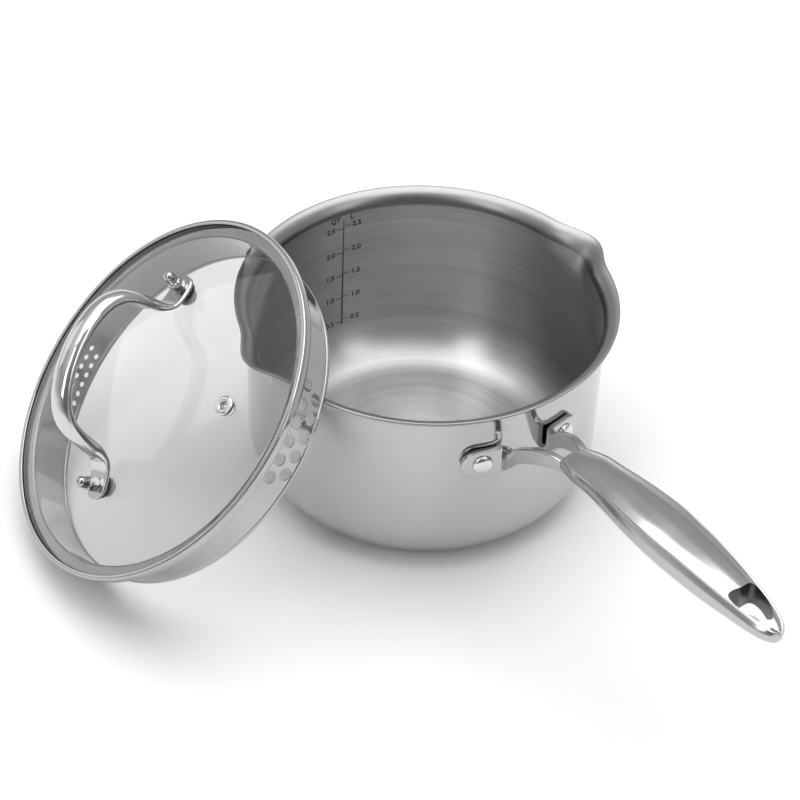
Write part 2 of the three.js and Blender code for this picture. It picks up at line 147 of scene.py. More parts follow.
class Finishes(bpy.types.PropertyGroup):
    polished: colour("Polished steel", "Colour of the polished outside", (0.60, 0.602, 0.61))
    brushed: colour("Brushed steel", "Colour of the ring-brushed inside", (0.5, 0.5, 0.505))
    shell: colour("Pan outside", "Colour of the softly polished outside of the pan", (0.48, 0.48, 0.485))
    lip: colour("Lip", "Colour of the satin lip", (0.31, 0.31, 0.313))
    grip: colour("Handle", "Colour of the buffed handle casting", (0.5, 0.5, 0.505))
    band: colour("Lid band", "Colour of the lid's polished band", (0.45, 0.45, 0.46))
    # hole: near-black painted shade on the walls of the hanging hole.
    hole: colour("Hanging hole", "Colour of the painted shade on the walls of the hanging hole", (0.09, 0.09, 0.092))
    # seam: near-black painted shade in the groove where the band grips the glass.
    seam: colour("Seam", "Colour of the dark seam between the band and the glass", (0.03, 0.03, 0.031))
    nuts: colour("Cap nuts", "Colour of the cap nuts on the lid", (0.42, 0.42, 0.43))
    chrome: colour("Bright fittings", "Colour of nuts, rivets and vent", (0.68, 0.682, 0.69))
    glass: colour("Glass", "Tint of the lid's glass", (0.74, 0.74, 0.742))
    rubber: colour("Black silicone", "Colour of washers and grommet", (0.012, 0.012, 0.013))
    clear_rubber: colour("Milky silicone", "Colour of the washers under the glass", (0.55, 0.57, 0.57))
    print: colour("Scale print", "Colour of the volume scale", (0.035, 0.035, 0.038))
    floor: colour("Table", "Colour of the table top", (0.9, 0.9, 0.902))


class StageSettings(bpy.types.PropertyGroup):
    target: bpy.props.FloatVectorProperty(
        name="Aim", description="Point that the camera looks at", default=(0.0237, -0.0303, 0.0703),
        subtype="TRANSLATION", unit="LENGTH")
    distance: length("Camera distance", "From the camera to the point it looks at", 1.2088)
    azimuth: angle("Camera azimuth", "Direction of the camera round the pan", -33.0)
    elevation: angle("Camera elevation", "Height angle of the camera", 40.87)
    roll: angle("Camera roll", "Turn of the camera about its own axis", 2.6)
    lens: number("Lens", "Focal length in millimetres on a 36 mm wide frame", 101.92)
    key: number("Key light", "Power of the large overhead light in watts", 38)
    side: number("Side lights", "Power of the side lights in watts", 3)
    sky: number("Surround", "Brightness of the pale studio around the object", 1.0)


GROUPS = {
    "pan_sizes": PanSizes,
    "handle_sizes": HandleSizes,
    "lid_sizes": LidSizes,
    "finishes": Finishes,
    "stage_settings": StageSettings,
}


# ------------------------------------------------------------------ shaping

def eased(corners, radii, steps=4, closed=False):
    """A path through corners, each one rounded off by about its own radius."""
    corners = np.asarray(corners, float)
    count = len(corners)
    path = []
    for i, corner in enumerate(corners):
        if not closed and i in (0, count - 1):
            path.append(corner)
            continue
        before = corners[i - 1] - corner
        after = corners[(i + 1) % count] - corner
        radius = radii[i] if np.ndim(radii) else radii
        start = corner + before * min(0.48, radius / max(np.linalg.norm(before), 1e-9))
        end = corner + after * min(0.48, radius / max(np.linalg.norm(after), 1e-9))
        for t in np.linspace(0, 1, steps + 1):
            path.append((1 - t) ** 2 * start + 2 * t * (1 - t) * corner + t * t * end)
    return np.array(path)


def finer(path, step):
    """The same path with extra points, so that no stretch is longer than step."""
    path = np.asarray(path, float)
    points = [path[0]]
    for a, b in zip(path[:-1], path[1:]):
        pieces = max(1, math.ceil(np.linalg.norm(b - a) / step))
        points += [a + (b - a) * i / pieces for i in range(1, pieces + 1)]
    return np.array(points)


def flowing(stations, x):
    """Values at x on a smooth curve through rows of (x, value, value, ...)."""
    stations = np.asarray(stations, float)
    xs = stations[:, 0]
    values = stations[:, 1:]
    slopes = np.gradient(values, xs, axis=0)
    i = int(np.clip(np.searchsorted(xs, x) - 1, 0, len(xs) - 2))
    span = xs[i + 1] - xs[i]
    t = (x - xs[i]) / span
    a = (1 + 2 * t) * (1 - t) ** 2
    b = t * (1 - t) ** 2
    c = smooth_step(t)
    d = t * t * (t - 1)
    return a * values[i] + b * span * slopes[i] + c * values[i + 1] + d * span * slopes[i + 1]


def ring_of(radius, height, segments):
    turn = np.linspace(0, 2 * math.pi, segments, endpoint=False)
    return np.stack([radius * np.cos(turn), radius * np.sin(turn), np.full(segments, height)], axis=1)


def skin(name, rows, joined=False, material_of_row=None):
    """A closed surface through rows of points. Each row closes on itself, and joined links last to first."""
    rows = np.asarray(rows, float)
    count, around = rows.shape[:2]
    faces = []
    materials = []
    for i in range(count if joined else count - 1):
        j = (i + 1) % count
        for k in range(around):
            m = (k + 1) % around
            faces.append((i * around + k, i * around + m, j * around + m, j * around + k))
            materials.append(material_of_row[i] if material_of_row is not None else 0)
    mesh = bpy.data.meshes.new(name)
    mesh.from_pydata(rows.reshape(-1, 3).tolist(), [], faces)
    mesh.polygons.foreach_set("material_index", materials)
    tidy = bmesh.new()
    tidy.from_mesh(mesh)
    bmesh.ops.remove_doubles(tidy, verts=tidy.verts, dist=2e-6)
    open_edges = [edge for edge in tidy.edges if edge.is_boundary]
    if open_edges:
        bmesh.ops.holes_fill(tidy, edges=open_edges, sides=0)
    bmesh.ops.recalc_face_normals(tidy, faces=tidy.faces)
    tidy.to_mesh(mesh)
    tidy.free()
    return mesh


def turned(name, profile, segments=192, joined=False, material_of_row=None):
    """A profile of (radius, height) pairs turned about the Z axis."""
    rows = [ring_of(radius, height, segments) for radius, height in profile]
    return skin(name, rows, joined, material_of_row)


def linked(name, data):
    """A new object in the scene that holds the data."""
    thing = bpy.data.objects.new(name, data)
    bpy.context.scene.collection.objects.link(thing)
    return thing


def place(name, mesh, materials, body, replaced=(), matrix=None, smooth_angle=40):
    """Puts a finished mesh into the scene as a piece that rides on a body."""
    if matrix is not None:
        mesh.transform(matrix)
    piece = linked(name, mesh)
    for material in materials:
        mesh.materials.append(material)
    mesh.shade_smooth()
    mesh.set_sharp_from_angle(angle=math.radians(smooth_angle))
    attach(piece, body)
    if replaced:
        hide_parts(*replaced)
    return piece


def taken_from(piece, name):
    """The object's finished mesh. The object itself is removed."""
    bpy.context.view_layer.update()
    mesh = bpy.data.meshes.new_from_object(
        piece.evaluated_get(bpy.context.evaluated_depsgraph_get()))
    mesh.name = name
    bpy.data.objects.remove(piece)
    return mesh


def gathered(name, parts):
    """One mesh that holds all the parts."""
    mesh = bpy.data.meshes.new(name)
    together = bmesh.new()
    for part in parts:
        together.from_mesh(part)
    together.to_mesh(mesh)
    together.free()
    return mesh


def smooth_step(t):
    return t * t * (3 - 2 * t)


def drilled(mesh, cutters):
    """The mesh with all the cutter meshes taken out of it."""
    blank = linked("blank", mesh)
    drill = linked("drill", gathered("cutters", cutters))
    cut = blank.modifiers.new("holes", "BOOLEAN")
    cut.operation = "DIFFERENCE"
    cut.solver = "EXACT"
    cut.object = drill
    result = taken_from(blank, mesh.name)
    bpy.data.objects.remove(drill)
    return result


def broken_edges(mesh, width, sharper_than=50):
    """The mesh with its sharp edges rounded over, as a deburred edge is."""
    piece = linked("piece", mesh)
    round_over = piece.modifiers.new("edges", "BEVEL")
    round_over.width = width
    round_over.segments = 3
    round_over.limit_method = "ANGLE"
    round_over.angle_limit = math.radians(sharper_than)
    round_over.harden_normals = False
    return taken_from(piece, mesh.name)


def moved(mesh, matrix):
    mesh.transform(matrix)
    return mesh


# ------------------------------------------------------------------ finishes

def new_group(name, inputs, outputs):
    group = bpy.data.node_groups.new(name, "ShaderNodeTree")
    for label, kind, default in inputs:
        socket = group.interface.new_socket(label, in_out="INPUT", socket_type=kind)
        socket.default_value = default
    for label, kind in outputs:
        group.interface.new_socket(label, in_out="OUTPUT", socket_type=kind)
    return group, group.nodes.new("NodeGroupInput"), group.nodes.new("NodeGroupOutput")


def feed(tree, socket, value):
    """Links the socket to another node's output, or sets it to a constant."""
    if isinstance(value, bpy.types.NodeSocket):
        tree.links.new(value, socket)
    else:
        socket.default_value = value


def feed_all(tree, node, values):
    for label, value in values.items():
        feed(tree, node.inputs[label], value)


def maths(tree, operation, *values):
    node = tree.nodes.new("ShaderNodeMath")
    node.operation = operation
    for socket, value in zip(node.inputs, values):
        feed(tree, socket, value)
    return node.outputs[0]


def span(tree, value, from_low, from_high, to_low, to_high):
    node = tree.nodes.new("ShaderNodeMapRange")
    for socket, entry in zip(node.inputs, (value, from_low, from_high, to_low, to_high)):
        feed(tree, socket, entry)
    return node.outputs[0]


def noise(tree, vector, scale, detail=2.0, roughness=0.5):
    node = tree.nodes.new("ShaderNodeTexNoise")
    feed_all(tree, node, {"Vector": vector, "Scale": scale, "Detail": detail, "Roughness": roughness})
    return node.outputs["Fac"]


def own_coordinates(tree):
    return tree.nodes.new("ShaderNodeTexCoord").outputs["Object"]


def ring_brush_group():
    """Fine marks left by a brushing wheel while the piece spins about its own axis."""
    group, entry, out = new_group(
        "ring brush marks",
        [("Marks per metre", "NodeSocketFloat", 2600.0), ("Mark spread", "NodeSocketFloat", 9.0),
         ("Depth", "NodeSocketFloat", 0.5)],
        [("Shade", "NodeSocketFloat"), ("Height", "NodeSocketFloat"), ("Wear", "NodeSocketFloat")])
    split = group.nodes.new("ShaderNodeSeparateXYZ")
    group.links.new(own_coordinates(group), split.inputs[0])
    x, y, z = split.outputs
    squares = maths(group, "ADD", maths(group, "MULTIPLY", x, x), maths(group, "MULTIPLY", y, y))
    along_profile = maths(group, "SUBTRACT", z, maths(group, "SQRT", squares))
    join = group.nodes.new("ShaderNodeCombineXYZ")
    group.links.new(maths(group, "MULTIPLY", x, entry.outputs["Mark spread"]), join.inputs[0])
    group.links.new(maths(group, "MULTIPLY", y, entry.outputs["Mark spread"]), join.inputs[1])
    group.links.new(maths(group, "MULTIPLY", along_profile, entry.outputs["Marks per metre"]), join.inputs[2])
    fine = noise(group, join.outputs[0], 1.0, 1.0, 0.5)
    coarse = noise(group, join.outputs[0], 0.22, 1.0, 0.5)
    patches = noise(group, own_coordinates(group), 26.0, 2.0)
    mixed = maths(group, "ADD", maths(group, "MULTIPLY", fine, 0.6), maths(group, "MULTIPLY", coarse, 0.4))
    centred = maths(group, "SUBTRACT", mixed, 0.5)
    shade = maths(group, "ADD", 1.0, maths(group, "MULTIPLY", centred, entry.outputs["Depth"]))
    wear = span(group, patches, 0.3, 0.7, 0.0, 1.0)
    feed_all(group, out, {"Shade": shade, "Height": mixed, "Wear": wear})
    return group


def polish_group():
    """The faint haze, orange peel and stray hairline scratches of buffed steel."""
    group, entry, out = new_group(
        "buffed haze",
        [("Haze size", "NodeSocketFloat", 45.0), ("Low roughness", "NodeSocketFloat", 0.06),
         ("High roughness", "NodeSocketFloat", 0.13), ("Hairlines", "NodeSocketFloat", 0.3)],
        [("Roughness", "NodeSocketFloat"), ("Height", "NodeSocketFloat"), ("Tone", "NodeSocketFloat")])
    place_of = own_coordinates(group)
    haze = noise(group, place_of, entry.outputs["Haze size"], 3.0, 0.6)
    stretch = group.nodes.new("ShaderNodeMapping")
    stretch.inputs["Scale"].default_value = (3.0, 3.0, 38.0)
    stretch.inputs["Rotation"].default_value = (0.35, 0.2, 0.0)
    group.links.new(place_of, stretch.inputs["Vector"])
    lines = noise(group, stretch.outputs[0], 60.0, 2.0, 0.75)
    sharp_lines = span(group, lines, 0.62, 0.72, 0.0, 1.0)
    scratched = maths(group, "MULTIPLY", sharp_lines, entry.outputs["Hairlines"])
    smooth = span(group, haze, 0.3, 0.7, entry.outputs["Low roughness"], entry.outputs["High roughness"])
    rougher = maths(group, "ADD", smooth, maths(group, "MULTIPLY", scratched, 0.05))
    higher = maths(group, "ADD", haze, maths(group, "MULTIPLY", scratched, 0.05))
    tone = span(group, haze, 0.3, 0.7, 0.975, 1.015)
    feed_all(group, out, {"Roughness": rougher, "Height": higher, "Tone": tone})
    return group


def mould_group():
    """The soft speckle and dust of moulded silicone, ink or a table top."""
    group, entry, out = new_group(
        "fine speckle",
        [("Speckle size", "NodeSocketFloat", 900.0), ("Dust", "NodeSocketFloat", 0.3)],
        [("Height", "NodeSocketFloat"), ("Dust mask", "NodeSocketFloat")])
    place_of = own_coordinates(group)
    grains = noise(group, place_of, entry.outputs["Speckle size"], 3.0, 0.6)
    drift = noise(group, place_of, 130.0, 2.0, 0.5)
    group.links.new(grains, out.inputs["Height"])
    dust = maths(group, "MULTIPLY", span(group, drift, 0.45, 0.8, 0.0, 1.0), entry.outputs["Dust"])
    group.links.new(dust, out.inputs["Dust mask"])
    return group


def made_once(recipe):
    """Makes a finish the first time that its name is asked for, and keeps it after that."""
    def maker(self, name, *settings, **named):
        if name not in self.made:
            self.made[name] = recipe(self, name, *settings, **named)
        return self.made[name]
    return maker


class Workshop:
    """The finishes of this saucepan, each one made the first time that a piece asks for it."""

    def __init__(self):
        self.made = {}

    def group(self, maker):
        if maker.__name__ not in self.made:
            self.made[maker.__name__] = maker()
        return self.made[maker.__name__]

    def start(self, name):
        material = bpy.data.materials.new(name)
        material.use_nodes = True
        tree = material.node_tree
        return material, tree, tree.nodes["Principled BSDF"]

    def add(self, tree, maker, **values):
        node = tree.nodes.new("ShaderNodeGroup")
        node.node_tree = self.group(maker)
        feed_all(tree, node, {label.replace("_", " "): value for label, value in values.items()})
        return node

    def tinted(self, tree, shader, tone, rgb):
        mix = tree.nodes.new("ShaderNodeVectorMath")
        mix.operation = "SCALE"
        mix.inputs[0].default_value = tuple(rgb)
        tree.links.new(tone, mix.inputs["Scale"])
        tree.links.new(mix.outputs[0], shader.inputs["Base Color"])

    def bumped(self, tree, shader, height, strength, distance):
        bump = tree.nodes.new("ShaderNodeBump")
        feed_all(tree, bump, {"Strength": strength, "Distance": distance, "Height": height})
        tree.links.new(bump.outputs[0], shader.inputs["Normal"])

    @made_once
    def steel(self, name, rgb, low, high, hairlines=0.3, haze=45.0, relief=0.1):
        material, tree, shader = self.start(name)
        buff = self.add(tree, polish_group, Haze_size=haze, Low_roughness=low, High_roughness=high,
                        Hairlines=hairlines)
        feed_all(tree, shader, {"Metallic": 1.0, "Roughness": buff.outputs["Roughness"]})
        self.tinted(tree, shader, buff.outputs["Tone"], rgb)
        self.bumped(tree, shader, buff.outputs["Height"], relief, 0.00004)
        return material

    @made_once
    def ring_brushed(self, name, rgb, low=0.3, high=0.38, stretch=0.85, marks=900.0, depth=0.6,
                     relief=0.2):
        material, tree, shader = self.start(name)
        brush = self.add(tree, ring_brush_group, Marks_per_metre=marks, Depth=depth)
        tangent = tree.nodes.new("ShaderNodeTangent")
        tangent.direction_type = "RADIAL"
        tangent.axis = "Z"
        feed_all(tree, shader, {
            "Metallic": 1.0, "Anisotropic": stretch, "Anisotropic Rotation": 0.25,
            "Tangent": tangent.outputs[0],
            "Roughness": span(tree, brush.outputs["Wear"], 0.0, 1.0, low, high),
        })
        self.tinted(tree, shader, brush.outputs["Shade"], rgb)
        self.bumped(tree, shader, brush.outputs["Height"], relief, 0.00003)
        return material

    @made_once
    def silicone(self, name, rgb, roughness, dust):
        material, tree, shader = self.start(name)
        speckle = self.add(tree, mould_group, Dust=dust)
        tone = span(tree, speckle.outputs["Dust mask"], 0.0, 1.0, 1.0, 3.0)
        self.tinted(tree, shader, tone, rgb)
        rough = span(tree, speckle.outputs["Dust mask"], 0.0, 1.0, roughness, roughness + 0.25)
        tree.links.new(rough, shader.inputs["Roughness"])
        self.bumped(tree, shader, speckle.outputs["Height"], 0.2, 0.00003)
        return material

    @made_once
    def glass(self, name, rgb):
        material, tree, shader = self.start(name)
        buff = self.add(tree, polish_group, Haze_size=18.0, Low_roughness=0.0, High_roughness=0.012,
                        Hairlines=0.1)
        feed_all(tree, shader, {
            "Transmission Weight": 1.0, "Metallic": 0.0, "IOR": 1.5,
            "Roughness": buff.outputs["Roughness"],
        })
        self.tinted(tree, shader, buff.outputs["Tone"], rgb)
        output = tree.nodes["Material Output"]
        clear = tree.nodes.new("ShaderNodeBsdfTransparent")
        clear.inputs["Color"].default_value = (0.9, 0.9, 0.9, 1.0)
        path = tree.nodes.new("ShaderNodeLightPath")
        mix = tree.nodes.new("ShaderNodeMixShader")
        for i, source in enumerate((path.outputs["Is Shadow Ray"], shader.outputs[0], clear.outputs[0])):
            tree.links.new(source, mix.inputs[i])
        tree.links.new(mix.outputs[0], output.inputs["Surface"])
        return material


workshop = Workshop()


def polished(finish):
    return workshop.steel("polished steel", finish.polished, 0.07, 0.13)


def buffed(finish):
    return workshop.steel("buffed handle steel", finish.grip, 0.15, 0.2)


def mirror(finish):
    return workshop.steel("mirror steel", finish.chrome, 0.03, 0.07, hairlines=0.15, relief=0.05)


def brushed(finish):
    return workshop.ring_brushed("ring brushed steel", finish.brushed)


def nut_steel(finish):
    return workshop.steel("dark mirror steel", finish.nuts, 0.03, 0.06, hairlines=0.1, relief=0.05)


def silicone(finish):
    return workshop.silicone("black silicone", finish.rubber, 0.42, 0.3)


# ------------------------------------------------------------------ pan

def lip_side(sizes, offset, steps=12):
    """One side of the flared lip, offset from its middle line, from the wall out to the edge."""
    turn = np.linspace(0, sizes.sweep, steps)
    along = np.stack([sizes.flare * np.sin(turn), sizes.rise * np.cos(turn)], axis=1)
    along /= np.linalg.norm(along, axis=1)[:, None]
    start_radius = sizes.wall_radius - sizes.wall / 2
    start_height = sizes.height - sizes.rise * math.sin(sizes.sweep) - sizes.wall / 2
    radius = start_radius + sizes.flare * (1 - np.cos(turn)) + offset * along[:, 1]
    height = start_height + sizes.rise * np.sin(turn) - offset * along[:, 0]
    return np.stack([radius, height], axis=1)


def lip_edge(sizes, steps=5):
    outer = lip_side(sizes, sizes.wall / 2)[-1]
    inner = lip_side(sizes, -sizes.wall / 2)[-1]
    middle = (outer + inner) / 2
    first = math.atan2(*(outer - middle)[::-1])
    turn = first + np.linspace(0, math.pi, steps + 2)[1:-1]
    return middle + sizes.wall / 2 * np.stack([np.cos(turn), np.sin(turn)], axis=1)


def quarter(centre, height, radius, start, end, steps=14):
    turn = np.radians(np.linspace(start, end, steps))
    return np.stack([centre + radius * np.cos(turn), height + radius * np.sin(turn)], axis=1)


def spouted(points, sizes):
    """Pushes the wall and lip out into the two pour spouts."""
    points = points.copy()
    x, y, z = points[..., 0], points[..., 1], points[..., 2]
    radius = np.hypot(x, y)
    off_axis = np.arctan2(np.abs(x), np.abs(y))
    height = np.clip((z - sizes.height + sizes.spout_depth) / sizes.spout_depth, 0, 1)
    sideways = np.cos(np.clip(off_axis / sizes.spout_angle, 0, 1) * math.pi / 2) ** 3
    push = sideways * height * height * (3 - 2 * height)
    grown = 1 + sizes.spout * push / np.maximum(radius, 1e-6)
    points[..., 0] *= grown
    points[..., 1] *= grown
    points[..., 2] -= sizes.spout_dip * push
    return points


class SAUCEPAN_OT_pan(bpy.types.Operator):
    """Draw the steel shell of the pan with its flared lip and pour spouts"""
    bl_idname = "saucepan.pan"
    bl_label = "Pan"

    def execute(self, context):
        sizes = context.scene.pan_sizes
        finish = context.scene.finishes
        turn_in = sizes.wall_radius - sizes.corner
        inner_corner = sizes.corner - sizes.wall
        outside = np.concatenate([
            finer([(0.0, 0.0), (turn_in, 0.0)], 0.008)[:-1],
            quarter(turn_in, sizes.corner, sizes.corner, -90, 0),
            lip_side(sizes, sizes.wall / 2),
        ])
        inside = np.concatenate([
            lip_side(sizes, -sizes.wall / 2)[::-1],
            quarter(turn_in, sizes.base + inner_corner, inner_corner, 0, -90),
            finer([(turn_in, sizes.base), (0.0, sizes.base)], 0.008)[1:],
        ])
        outside = finer(outside, 0.003)
        inside = finer(inside, 0.003)
        profile = np.concatenate([outside, lip_edge(sizes), inside])
        lip_rows = int(np.argmax(inside[:, 1] < sizes.height - 0.0075))
        outer_part, lip_part, inner_part = 0, 1, 2
        edge_rows = len(profile) - len(outside) - len(inside)
        material_of_row = [outer_part] * len(outside) + [lip_part] * (edge_rows + lip_rows)
        material_of_row += [inner_part] * (len(inside) - lip_rows)
        rows = np.array([ring_of(radius, height, 288) for radius, height in profile])
        mesh = skin("pan_shell", spouted(rows, sizes), material_of_row=material_of_row)
        lip = workshop.steel("satin lip", finish.lip, 0.3, 0.36, hairlines=0.0, relief=0.02)
        outer = workshop.steel("polished pan wall", finish.shell, 0.1, 0.15, hairlines=0.2, haze=30.0)
        place("pan_shell", mesh, [outer, lip, brushed(finish)], "pan",
              ["pan_body"], smooth_angle=60)
        return {"FINISHED"}


class SAUCEPAN_OT_volume_scale(bpy.types.Operator):
    """Print the quart and litre scale on the inside of the wall"""
    bl_idname = "saucepan.volume_scale"
    bl_label = "Volume scale"

    LITRES = [("2.5", 96.6), ("2.0", 79.4), ("1.5", 62.8), ("1.0", 45.9), ("0.5", 29.1)]
    QUARTS = [("2.5", 95.0), ("2.0", 77.8), ("1.5", 61.4), ("1.0", 45.0), ("0.5", 27.5)]

    def strip(self, left, right, low, high):
        """The outline of a bar, with extra points so that it can follow the wall."""
        columns = np.linspace(left, right, 6)
        return [(c, low) for c in columns] + [(c, high) for c in columns[::-1]]

    def print_shape(self, outline, radius, centre_angle, depth=0.00006):
        """A thin solid of ink on the wall, from an outline of (sideways, height) points."""
        mesh = bpy.data.meshes.new("ink")
        ink = bmesh.new()
        rows = []
        for out in (radius, radius - depth):
            rows.append([ink.verts.new(self.on_wall(side, height, out, centre_angle))
                         for side, height in outline])
        ink.faces.new(rows[0])
        ink.faces.new(rows[1][::-1])
        for i in range(len(outline)):
            j = (i + 1) % len(outline)
            ink.faces.new((rows[0][i], rows[0][j], rows[1][j], rows[1][i]))
        bmesh.ops.recalc_face_normals(ink, faces=ink.faces)
        ink.to_mesh(mesh)
        ink.free()
        return mesh

    def on_wall(self, side, height, radius, centre_angle):
        turn = centre_angle - side / radius
        fillet = self.corner - self.wall
        drop = max(0.0, self.base + fillet - height)
        radius -= fillet - math.sqrt(fillet ** 2 - drop ** 2)
        return Vector((radius * math.cos(turn), radius * math.sin(turn), height))

    def lettering(self, text, side, height, size, align, radius, centre_angle, depth=0.00003):
        curve = bpy.data.curves.new("number", "FONT")
        curve.body = text
        curve.size = size
        curve.align_x = align
        curve.align_y = "CENTER"
        curve.extrude = depth
        curve.resolution_u = 4
        curve.offset = 0.00012
        mesh = taken_from(linked("number", curve), "number")
        for vertex in mesh.vertices:
            x, y, z = vertex.co
            vertex.co = self.on_wall(side + x, height + y, radius - depth - z, centre_angle)
        return mesh

    def execute(self, context):
        sizes = context.scene.pan_sizes
        self.corner, self.wall, self.base = sizes.corner, sizes.wall, sizes.base
        radius = sizes.wall_radius - sizes.wall - 0.00002
        centre_angle = math.radians(178.0)
        line = 0.0005
        tick = 0.0042
        top = 0.1005
        bottom = 0.0262
        text_gap = 0.0012
        number_size = 0.0047
        unit_size, unit_side, unit_height = 0.0046, 0.0052, 0.1016
        parts = [self.print_shape(self.strip(-line / 2, line / 2, bottom, top), radius, centre_angle)]
        for side, marks in ((1, self.LITRES), (-1, self.QUARTS)):
            for text, height in marks:
                height *= MM
                ends = sorted((side * line / 2, side * tick))
                parts.append(self.print_shape(
                    self.strip(*ends, height - line / 2, height + line / 2), radius, centre_angle))
                align = "LEFT" if side > 0 else "RIGHT"
                parts.append(self.lettering(
                    text, side * (tick + text_gap), height, number_size, align, radius, centre_angle))
        for text, side in (("L", unit_side), ("QT", -unit_side)):
            parts.append(self.lettering(
                text, side, unit_height, unit_size, "CENTER", radius, centre_angle))
        mesh = gathered("volume_scale", parts)
        ink = workshop.silicone("scale ink", context.scene.finishes.print, 0.5, 0.5)
        place("volume_scale", mesh, [ink], "pan")
        return {"FINISHED"}


# ------------------------------------------------------------------ handle

# The grip by distance from the pan's axis: panel half width, panel edge height, underside height,
# width of the bevel, drop of the bevel. Millimetres.
GRIP_STATIONS = [
    (136, 7.4, 108.4, 99.4, 1.4, 1.6),
    (150, 10.3, 113.0, 102.6, 1.6, 2.0),
    (165, 11.0, 116.6, 105.8, 1.7, 2.5),
    (180, 12.3, 119.6, 107.6, 1.9, 3.3),
    (195, 13.4, 122.0, 108.8, 2.0, 3.8),
    (210, 13.8, 124.1, 109.2, 2.1, 4.0),
    (225, 13.3, 125.6, 109.8, 2.2, 4.0),
    (240, 12.4, 127.0, 111.2, 2.3, 3.8),
    (255, 11.2, 127.9, 113.2, 2.3, 3.4),
    (270, 9.4, 128.3, 115.8, 2.2, 3.0),
    (280, 8.0, 128.4, 117.4, 2.1, 2.8),
    (287, 6.6, 128.2, 118.4, 2.0, 2.7),
    (291.5, 5.1, 127.9, 119.1, 1.9, 2.6),
    (294.5, 3.5, 127.6, 119.8, 1.7, 2.4),
    (296.4, 1.9, 127.1, 120.6, 1.3, 2.1),
    (297.2, 0.5, 126.4, 121.8, 0.7, 1.5),
]


def grip_section(x, crown, shrink=1.0):
    half, edge, under, bevel, drop = flowing(GRIP_STATIONS, x)
    half = max(half, 0.3)
    crown = min(crown / MM, half * 0.3)
    widest = half + bevel
    side = (edge - drop + under) / 2
    right = [
        (0.0, edge + crown), (half * 0.55, edge + crown * 0.72), (half - 0.9, edge - 0.25), (half, edge),
        (widest, edge - drop),
        (widest - 0.3, side), (widest * 0.72, under + 0.9), (widest * 0.36, under + 0.1), (0.0, under),
    ]
    left = [(-y, z) for y, z in right[-2:0:-1]]
    radii = [1.5, 1.8, 0.35, 0.35, 1.1, 3.0, 3.0, 2.0, 2.0]
    radii += radii[-2:0:-1]
    path = eased(right + left, radii, steps=4, closed=True)
    middle = np.array([0.0, (edge + under) / 2])
    path = middle + (path - middle) * shrink
    return np.stack([np.full(len(path), x), path[:, 0], path[:, 1]], axis=1) * MM


def hole_outline(half_width):
    """The teardrop hanging hole: nearly straight towards the pan, pointed towards the tip."""
    start, end, widest = 267.0, 291.2, 273.0
    half = half_width / MM
    right = [(start + 1.0, 0.0), (start, half * 0.5), (start + 0.2, half * 1.0), (widest, half * 1.06),
             (280.5, half * 0.86), (287.0, half * 0.5), (end, 0.0)]
    left = [(x, -y) for x, y in right[-2:0:-1]]
    radii = [4, 3, 3.2, 5, 6, 4, 3.6]
    radii += radii[-2:0:-1]
    return eased(right + left, radii, steps=5, closed=True)


def strap_rows(centres, sideways, half_heights, half_thickness, radius):
    """Sections of a plate on edge that follows centres, with rounded corners."""
    rows = []
    for centre, across, half, thick in zip(centres, sideways, half_heights, half_thickness):
        corner = min(radius, half * 0.9, thick * 0.9)
        box = [(-thick, -half), (thick, -half), (thick, half), (-thick, half)]
        path = eased(box, corner, steps=4, closed=True)
        rows.append(centre + path[:, :1] * across + path[:, 1:] * np.array([0.0, 0.0, 1.0]))
    return np.array(rows)


def fork_half(sizes, wall_radius, side):
    """One lug and fork arm: along the wall, round the bend and up into the grip."""
    lug_half = sizes.lug_height / 2 / MM
    lug_gap = 0.45
    lug_end = 21.2
    bend_half, bend_rise, bend_narrowing = 1.65, 2.6, 1.9
    mid_radius = wall_radius / MM + lug_gap + sizes.lug_thickness / MM / 2
    lug_thick = sizes.lug_thickness / MM / 2
    lug_z = sizes.lug_height_up / MM
    lug_arc = np.radians(lug_end) * mid_radius
    round_centre = lug_arc - lug_half
    points = []
    for s in round_centre + lug_half * np.sin(np.linspace(math.pi / 2, 0, 12)):
        turn = s / mid_radius
        half = math.sqrt(max(lug_half ** 2 - (s - round_centre) ** 2, 0.0))
        points.append((mid_radius * math.cos(turn), mid_radius * math.sin(turn), lug_z, half, lug_thick))
    for degrees in (13.5, 12.0, 10.6):
        turn = math.radians(degrees)
        points.append((mid_radius * math.cos(turn), mid_radius * math.sin(turn), lug_z, lug_half,
                       lug_thick))
    arm_half = sizes.arm_thickness / MM / 2
    bend = eased([(97.0, 16.6), (98.4, 13.7), (106.0, 13.0)], 4.0, steps=8)[1:-1]
    for i, (x, y) in enumerate(bend):
        ease = smooth_step(i / (len(bend) - 1))
        points.append((x, y, lug_z + bend_rise * ease, lug_half - bend_narrowing * ease,
                       bend_half + (arm_half - bend_half) * ease))
    arm_stations = [(103.5, 13.2, 83.4, 6.6), (108, 12.7, 88.9, 5.6), (116, 11.4, 95.4, 5.0),
                    (124, 10.0, 100.2, 4.8), (132, 8.2, 103.0, 4.2), (140, 6.2, 104.6, 3.0),
                    (148, 4.4, 106.4, 2.4)]
    for x in np.linspace(arm_stations[0][0], arm_stations[-1][0], 30):
        y, z, half = flowing(arm_stations, x)
        points.append((x, y, z, half, arm_half))
    points = np.array(points)
    points[:, 1] *= side
    centres = points[:, :3]
    along = np.gradient(centres[:, :2], axis=0)
    along /= np.linalg.norm(along, axis=1)[:, None]
    sideways = np.stack([along[:, 1], -along[:, 0], np.zeros(len(along))], axis=1)
    rows = strap_rows(centres, sideways, points[:, 3], points[:, 4], 1.0)
    return rows * MM


